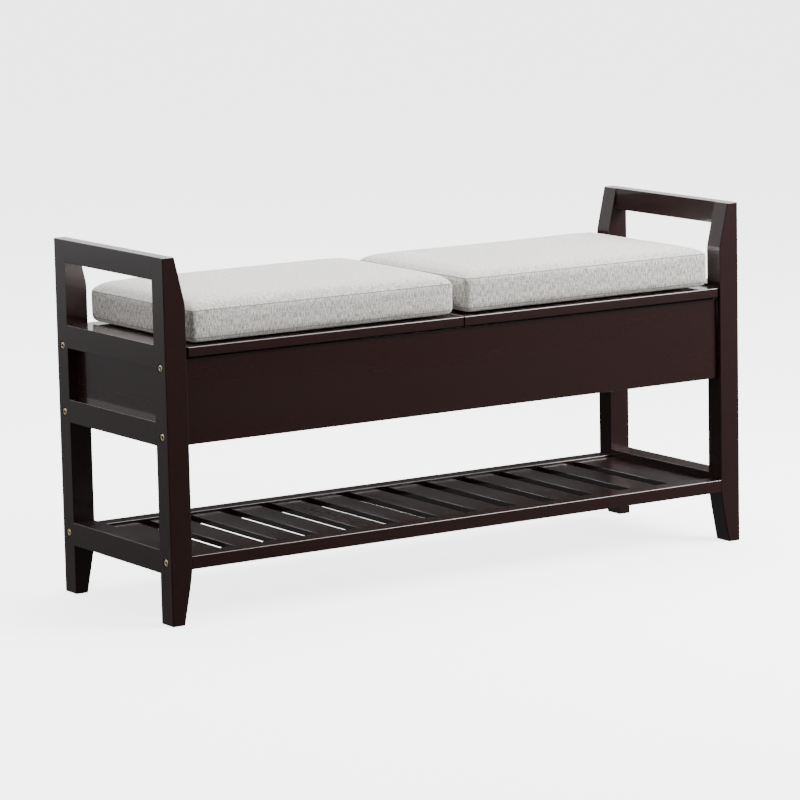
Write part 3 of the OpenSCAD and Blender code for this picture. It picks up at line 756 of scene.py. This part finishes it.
def cushion_form(name, low, high, boxing):
    """Box cushion before it is filled: flat bottom, upright boxing, crown that rises from its seam."""
    middle = (low + high) / 2
    half_x, half_y = (high.x - low.x) / 2 - CUSHION_START, (high.y - low.y) / 2 - CUSHION_START
    crown = high.z - CUSHION_START - low.z - boxing
    xs, ys = stations(half_x), stations(half_y)
    levels = BOXING_ROWS + [boxing / MM]
    last = len(levels) - 1
    bm = bmesh.new()
    made = {}

    def corner(i, j, k):
        if (i, j, k) not in made:
            x, y, height = xs[i], ys[j], levels[k] * MM
            ax = max(abs(x) - half_x + CORNER, 0) / CORNER
            ay = max(abs(y) - half_y + CORNER, 0) / CORNER
            x -= math.copysign(CORNER * ax * (1 - math.sqrt(1 - ay * ay / 2)), x)
            y -= math.copysign(CORNER * ay * (1 - math.sqrt(1 - ax * ax / 2)), y)
            low_part = max(1 - height / BOTTOM_ROUND, 0)
            inset = BOTTOM_ROUND * (1 - math.sqrt(1 - low_part * low_part))
            x, y = x * (1 - inset / half_x), y * (1 - inset / half_y)
            if k == last:
                height += crown * rise(half_x - abs(xs[i])) * rise(half_y - abs(ys[j]))
            made[i, j, k] = bm.verts.new((middle.x + x, middle.y + y, low.z + height))
        return made[i, j, k]

    for i in range(len(xs) - 1):
        for j in range(len(ys) - 1):
            bm.faces.new([corner(*p, 0) for p in ((i, j), (i, j + 1), (i + 1, j + 1), (i + 1, j))])
            bm.faces.new([corner(*p, last) for p in ((i, j), (i + 1, j), (i + 1, j + 1), (i, j + 1))])
    for k in range(last):
        for j in (0, len(ys) - 1):
            for i in range(len(xs) - 1):
                bm.faces.new([corner(i + a, j, k + b) for a, b in ((0, 0), (1, 0), (1, 1), (0, 1))])
        for i in (0, len(xs) - 1):
            for j in range(len(ys) - 1):
                bm.faces.new([corner(i, j + a, k + b) for a, b in ((0, 0), (1, 0), (1, 1), (0, 1))])
    bmesh.ops.recalc_face_normals(bm, faces=bm.faces)
    crease = bm.edges.layers.float.new("crease_edge")
    for e in bm.edges:
        if all(abs(v.co.z - low.z - boxing) < 0.05 * MM for v in e.verts):
            e[crease] = SEAM_CREASE
    return new_object(name, mesh_from(bm, name))


def apply_modifiers(thing):
    graph = bpy.context.evaluated_depsgraph_get()
    mesh = bpy.data.meshes.new_from_object(thing.evaluated_get(graph), depsgraph=graph)
    thing.modifiers.clear()
    thing.data = mesh


def blow_up(cushion, low, boxing):
    """Cloth under pressure; its bottom, seam and corners are held, and no point passes the cap."""
    scene = bpy.context.scene
    rest = [v.co.copy() for v in cushion.data.vertices]
    held = cushion.vertex_groups.new(name="held")
    seam = low.z + boxing
    sides = [(min(p[k] for p in rest), max(p[k] for p in rest)) for k in (0, 1)]

    def is_held(p):
        at_bottom = p.z < low.z + 0.5 * MM
        at_seam = abs(p.z - seam) < 0.05 * MM
        at_corner = all(min(p[k] - sides[k][0], sides[k][1] - p[k]) < CORNER + MM for k in (0, 1))
        return at_bottom or at_seam or at_corner
    held.add([k for k, p in enumerate(rest) if is_held(p)], 1.0, "REPLACE")
    cloth = cushion.modifiers.new("cloth", "CLOTH")
    settings = cloth.settings
    settings.quality = 5
    settings.mass = 0.3
    settings.tension_stiffness = settings.compression_stiffness = 18
    settings.bending_stiffness = 0.8
    settings.use_pressure = True
    settings.uniform_pressure_force = 4
    settings.vertex_group_mass = "held"
    settings.effector_weights.gravity = 0
    cloth.point_cache.frame_start, cloth.point_cache.frame_end = 1, PUFF_FRAMES
    for number in range(1, PUFF_FRAMES + 1):
        scene.frame_set(number)
    graph = bpy.context.evaluated_depsgraph_get()
    moved = [v.co.copy() for v in cushion.evaluated_get(graph).data.vertices]
    cushion.modifiers.clear()
    cushion.vertex_groups.clear()
    scene.frame_set(1)
    for v, a, b in zip(cushion.data.vertices, rest, moved):
        step = b - a
        v.co = a + step * min(1.0, PUFF_CAP / max(step.length, 1e-9))


def fill_box(cushion, low, high):
    """Stretches the form a little so that it fills the space between low and high."""
    points = [v.co for v in cushion.data.vertices]
    was_low = Vector(min(p[k] for p in points) for k in range(3))
    was_high = Vector(max(p[k] for p in points) for k in range(3))
    high = high - Vector((0, 0, TOP_DROP))
    for p in points:
        for k in range(3):
            p[k] = low[k] + (p[k] - was_low[k]) * (high[k] - low[k]) / (was_high[k] - was_low[k])


def draw_in_seams(cushion, low, high, boxing, seed):
    """The seam pulls the cover in; small waves run along it, as thread tension is never even."""
    middle = (low + high) / 2
    for v in cushion.data.vertices:
        p = v.co
        outward = Vector((0, 0, 0))
        for k in (0, 1):
            reach = max(abs(p[k] - middle[k]) - (high[k] - low[k]) / 2 + SEAM_REACH, 0)
            outward[k] = reach * math.copysign(1, p[k] - middle[k])
        if outward.length < 1e-6:
            continue
        near = min(outward.length / SEAM_REACH, 1.0) ** 2
        outward.normalize()
        wave = noise.noise(Vector((p.x * WAVE_RATE + seed, p.y * WAVE_RATE, seed)))
        ripple = noise.noise(Vector((p.x * RIPPLE_RATE, p.y * RIPPLE_RATE, p.z * RIPPLE_RISE + seed)))
        for seam in (low.z + boxing, low.z + BOTTOM_SEAM):
            fall = math.exp(-((p.z - seam) / SEAM_WIDTH) ** 2)
            v.co = v.co - outward * near * fall * SEAM_PULL * (1 + 0.6 * wave)
        v.co = v.co + outward * near * (RIPPLE * ripple - SLACK)


def lay_panels(cushion, low, boxing):
    """Panel map in metres: top and bottom as seen from above, boxing round the sides."""
    mesh = cushion.data
    layer = mesh.uv_layers.new(name="panels")
    seam, floor = low.z + boxing, low.z + MM
    for face in mesh.polygons:
        upright = floor < face.center.z < seam and abs(face.normal.z) < 0.8
        lengthwise = abs(face.normal.y) >= abs(face.normal.x)
        for loop in face.loop_indices:
            p = mesh.vertices[mesh.loops[loop].vertex_index].co
            if not upright:
                layer.data[loop].uv = (p.x, p.y)
            elif lengthwise:
                layer.data[loop].uv = (p.x + FRONT_SHIFT, p.z + FRONT_SHIFT)
            else:
                layer.data[loop].uv = (p.y + SIDE_SHIFT, p.z + FRONT_SHIFT)


def sew_seam(name, cushion, low, high, height, tree, material):
    """Seam cord round the cushion, lying in its surface at the given height."""
    skin = BVHTree.FromObject(cushion, bpy.context.evaluated_depsgraph_get())
    middle = (low + high) / 2
    ring = plan_ring((high.x - low.x) / 2, (high.y - low.y) / 2, CORNER, 5)
    path = []
    for k, (x, y) in enumerate(ring):
        nx, ny = ring[(k + 1) % len(ring)]
        steps = max(1, round(math.hypot(nx - x, ny - y) / SEAM_SPACING))
        path += [(x + (nx - x) * s / steps, y + (ny - y) * s / steps) for s in range(steps)]
    points = []
    for x, y in path:
        target = Vector((middle.x + x * 0.8, middle.y + y * 0.8, height))
        start = Vector((middle.x + x * 1.2, middle.y + y * 1.2, height))
        hit = skin.ray_cast(start, target - start)[0]
        if hit:
            points.append(hit + (target - start).normalized() * SEAM_RADIUS * CORD_SUNK)
    loop = bpy.data.meshes.new(name)
    loop.from_pydata(points, [(k, (k + 1) % len(points)) for k in range(len(points))], [])
    return grown(new_object(name, loop), tree, {"Finish": material})


def make_cushions(cloth, thread):
    tree = seam_tree()
    for number, side in enumerate(SIDES):
        node = side + "_cushion"
        low, high = box_of(node)
        boxing = BOXING[side]
        cushion = cushion_form(node + "_cover", low, high, boxing)
        blow_up(cushion, low, boxing)
        fill_box(cushion, low, high)
        finer = cushion.modifiers.new("finer", "SUBSURF")
        finer.levels = finer.render_levels = 1
        apply_modifiers(cushion)
        draw_in_seams(cushion, low, high, boxing, 5.0 + 11 * number)
        for face in cushion.data.polygons:
            face.use_smooth = True
        lay_panels(cushion, low, boxing)
        cushion.data.name = node + "_cover"
        paint(cushion, cloth)
        settle(cushion, side + "_lid", [node])
        for name, height in (("top_seam", low.z + boxing - SEAM_DROP), ("bottom_seam", low.z + BOTTOM_SEAM)):
            seam = sew_seam(f"{node}_{name}", cushion, low, high, height, tree, thread)
            settle(seam, side + "_lid", [])


# ---- hardware ----

def bolt():
    """Flat-headed bolt with a hex socket, its seat at z = 0 and its head towards +Z."""
    bm = bmesh.new()
    turn = 2 * math.pi / BOLT_POINTS
    sixth = math.radians(60)

    def ring(radius, z):
        points = [(radius(turn * k) * MM, turn * k) for k in range(BOLT_POINTS)]
        return [bm.verts.new((r * math.cos(a), r * math.sin(a), z * MM)) for r, a in points]

    def hexagon(share):
        return lambda a: share * HEX_R * math.cos(sixth / 2) / math.cos((a + sixth / 2) % sixth - sixth / 2)

    rings = [ring(lambda a, r=r: r, z) for r, z in BOLT_PROFILE]
    rings += [ring(hexagon(share), z) for share, z in HEX_RINGS]
    for a, b in zip(rings, rings[1:]):
        for k in range(BOLT_POINTS):
            n = (k + 1) % BOLT_POINTS
            bm.faces.new((a[k], a[n], b[n], b[k]))
    bm.faces.new(rings[-1])
    bm.faces.new(rings[0][::-1])
    bmesh.ops.recalc_face_normals(bm, faces=bm.faces)
    for f in bm.faces:
        f.smooth = True
    for e in bm.edges:
        if e.calc_face_angle(0) > BOLT_TURN:
            e.smooth = False
    return new_object("bolt", mesh_from(bm, "bolt"))


def make_bolts(brass):
    panel_low, panel_high = box_of("front_panel")
    rail_low, rail_high = box_of("left_shelf_end_rail")
    post_low, post_high = box_of("left_rear_post")
    row = (post_low.y + post_high.y) / 2
    heights = (panel_low.z + BOLT_LOW, panel_high.z - BOLT_HIGH, (rail_low.z + rail_high.z) / 2)
    places = []
    for side in (-1, 1):
        outward = Matrix.Rotation(side * math.radians(90), 3, "Y")
        seat = side * (abs(post_low.x) - RECESS_DEPTH)
        for end in (-1, 1):
            for k, z in enumerate(heights):
                # Each bolt is tightened to an angle of its own
                tightened = Matrix.Rotation(math.radians(17 * k + 25 * end), 3, "X")
                places.append(((seat, end * row, z), (tightened @ outward).to_euler()))
    bolts = copies("bolts_in_place", "bolts", places, bolt(), brass)
    settle(bolts, "frame", ["frame_bolts"])


def finish_hardware(finishes):
    """Gives the frame's own hardware its materials."""
    for node, finish in finishes.items():
        thing = nodes[node]
        if not thing.material_slots:
            thing.data.materials.append(finish)
        for slot in thing.material_slots:
            slot.material = finish


# ---- studio ----

def make_floor():
    """Pale floor that only the camera sees, so that the lacquer doesn't mirror it."""
    bm = bmesh.new()
    bmesh.ops.create_grid(bm, x_segments=1, y_segments=1, size=30)
    floor = new_object("floor", mesh_from(bm, "floor"))
    material, tree, shader, place = new_material("pale_floor")
    speck = add(tree, "ShaderNodeTexNoise", [("Vector", place.outputs["Object"]), ("Scale", 3.0)])
    tree.links.new(blend_colours(tree, speck.outputs[0], (0.93, 0.93, 0.94, 1), (0.95, 0.95, 0.96, 1)),
                   shader.inputs["Base Color"])
    shader.inputs["Roughness"].default_value = 0.9
    shader.inputs["Specular IOR Level"].default_value = 0.0
    shader.inputs["Emission Color"].default_value = DAYLIGHT
    shader.inputs["Emission Strength"].default_value = FLOOR_GLOW
    paint(floor, material)
    floor.visible_glossy = False
    floor.visible_diffuse = False


def make_flag():
    """Dark flag behind the bench: it keeps the shelf's tops dark, and only reflections see it."""
    left, right = FLAG_ENDS
    bm = bmesh.new()
    outline = ((left, FLAG_Y, 0.0), (right, FLAG_Y, 0.0), (right, FLAG_Y, FLAG_TOP), (left, FLAG_Y, FLAG_TOP))
    bm.faces.new([bm.verts.new(p) for p in outline])
    flag = new_object("flag", mesh_from(bm, "flag"))
    cloth, tree, shader, place = new_material("flag_cloth")
    speck = add(tree, "ShaderNodeTexNoise", [("Vector", place.outputs["Object"]), ("Scale", 3.0)])
    shader.inputs["Base Color"].default_value = (0.0, 0.0, 0.0, 1)
    shader.inputs["Specular IOR Level"].default_value = 0.0
    shader.inputs["Emission Strength"].default_value = FLAG_GLOW
    tree.links.new(blend_colours(tree, speck.outputs[0], (0.95, 0.93, 0.86, 1), (1.0, 0.98, 0.92, 1)),
                   shader.inputs["Emission Color"])
    paint(flag, cloth)
    flag.visible_camera = flag.visible_diffuse = flag.visible_shadow = flag.visible_transmission = False


def make_sky():
    """World: pale behind the bench, dark in front of it, and bright overhead for reflections."""
    world = bpy.data.worlds.new("studio")
    bpy.context.scene.world = world
    world.use_nodes = True
    tree = world.node_tree
    sky = tree.nodes["Background"]
    way = add(tree, "ShaderNodeTexCoord")
    axes = add(tree, "ShaderNodeSeparateXYZ", [(0, way.outputs["Generated"])])
    x, y, z = axes.outputs
    # Behind the bench the light grows with height in three steps, the last one mostly at the right
    behind = remap(tree, y, -0.15, 0.55)
    low_back = remap(tree, z, -0.20, -0.15, 0.11, 0.17)
    mid_back = remap(tree, z, -0.15, -0.10, 0.0, 0.43)
    high_back = remap(tree, z, -0.10, 0.10, 0.0, 0.60)
    high_back = maths(tree, "MULTIPLY", high_back, remap(tree, x, -0.4, 0.2, 0.1, 1.0))
    backdrop = maths(tree, "ADD", maths(tree, "ADD", low_back, mid_back), high_back)
    # In front of it the light is low, and higher towards the right
    front = remap(tree, x, 0.47, 0.60, 0.045, 0.18)
    ahead = maths(tree, "MULTIPLY", maths(tree, "SUBTRACT", 1.0, behind), front)
    glow = maths(tree, "ADD", maths(tree, "MULTIPLY", behind, backdrop), ahead)
    rays = add(tree, "ShaderNodeLightPath")
    overhead = maths(tree, "MULTIPLY", remap(tree, z, 0.35, 0.6, 0.0, OVERHEAD_GLOW),
                     rays.outputs["Is Glossy Ray"])
    glow = maths(tree, "ADD", glow, overhead)
    strength = add(tree, "ShaderNodeMix", [(0, rays.outputs["Is Camera Ray"]), (2, glow), (3, BACKDROP_GLOW)],
                   data_type="FLOAT")
    sky.inputs["Color"].default_value = DAYLIGHT
    tree.links.new(strength.outputs[0], sky.inputs["Strength"])


def make_lights():
    for name, place, target, size, power, shows in LIGHTS:
        data = bpy.data.lights.new(name, "AREA")
        data.shape, data.size, data.size_y, data.energy = "RECTANGLE", size[0], size[1], power
        lamp = new_object(name, data)
        lamp.location = place
        lamp.visible_glossy = shows
        lamp.rotation_mode = "QUATERNION"
        lamp.rotation_quaternion = (Vector(target) - Vector(place)).to_track_quat("-Z", "Y")


# ---- the bench ----

def make_bench():
    grain, weave, smudges = make_grain_group(), make_weave_group(), make_smudge_group()
    wood = {along: lacquered_wood(grain, along) for along in "xyz"}
    brass_look = (BRASS_DARK, BRASS_LIGHT, 160.0, 0.38, 0.6)
    brass = plated_metal(smudges, "antique_brass", *brass_look)
    zinc = plated_metal(smudges, "zinc_steel", ZINC_DARK, ZINC_LIGHT, 90.0, 0.25, 0.42)
    tape = black_tape(smudges, "hook_and_loop", 0.95)
    rubber = black_tape(smudges, "bumper_rubber", 0.6)
    make_posts(wood)
    make_end_rails(wood)
    make_box(wood, dark_board(grain))
    make_shelf(wood)
    make_lids(wood)
    make_bolts(paint_socket_shade(plated_metal(smudges, "bolt_brass", *brass_look)))
    finishes = {"barrel_nuts": zinc, "divider_screws": zinc, "stay_studs": zinc,
                "dowels": turned_beech(grain), "lid_bumpers": rubber, "hinge_frame_screws": brass}
    for side in SIDES:
        for part in ("hinge_frame_leaves", "hinge_pins", "hinge_lid_leaves", "lid_screws"):
            finishes[f"{side}_{part}"] = brass
        for part in ("stay_bracket", "stay_arm"):
            finishes[f"{side}_{part}"] = zinc
        finishes[side + "_cushion_pads"] = tape
    finish_hardware(finishes)
    make_cushions(linen(weave), seam_thread(smudges))


set_camera()
make_floor()
make_flag()
make_sky()
make_lights()
make_bench()
